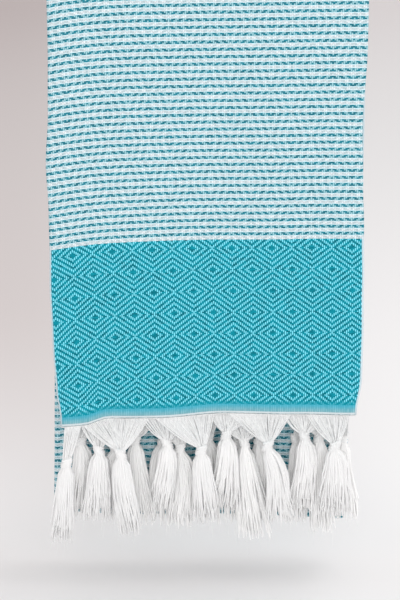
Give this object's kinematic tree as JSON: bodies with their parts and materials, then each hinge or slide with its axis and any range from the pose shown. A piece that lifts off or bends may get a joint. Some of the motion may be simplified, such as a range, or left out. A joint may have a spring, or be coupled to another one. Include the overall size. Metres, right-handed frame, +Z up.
{
  "type": "hammam towel",
  "caption": "Flat-woven cotton hammam towel with knotted fringes, folded lengthwise and hung doubled over its top fold.",
  "frame": {"origin": "on the line that the cloth bears on, under its top fold, at the middle of its width", "axes": "+Z up, -Y out of the front that shows its hem, +X to the right as seen from the front"},
  "size_m": [0.2576, 0.0611, 0.5139],
  "materials": {
    "woven_cotton": "flat-woven matt cotton, white warp, white and teal weft",
    "fringe_yarn": "loose matt cotton yarn, white"
  },
  "bodies": {
    "root": {"woven_cloth": "woven_cotton", "front_fringe": "fringe_yarn", "inner_fringe": "fringe_yarn"}
  },
  "joints": []
}
